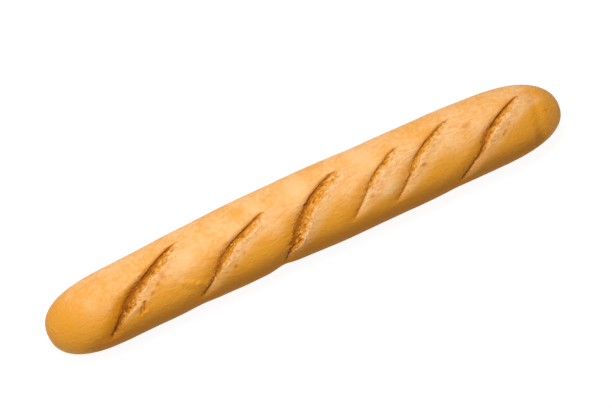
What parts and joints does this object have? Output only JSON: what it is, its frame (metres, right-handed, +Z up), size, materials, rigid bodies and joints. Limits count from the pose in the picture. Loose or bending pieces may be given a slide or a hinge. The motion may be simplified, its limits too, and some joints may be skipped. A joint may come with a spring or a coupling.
{
  "type": "baguette",
  "caption": "Long slim bread stick with rounded ends, slanting oven-opened scores across its crown and a flat sole.",
  "frame": {"origin": "centre of the loaf's overall box on the plane it lies on", "axes": "+X along the loaf from its blunter end to its slimmer end, +Z up, -Y the side where the scores end lowest"},
  "size_m": [0.5, 0.0744, 0.0591],
  "materials": {
    "crust": "golden baked bread crust, satin"
  },
  "bodies": {
    "root": {"loaf": "crust"}
  },
  "joints": []
}
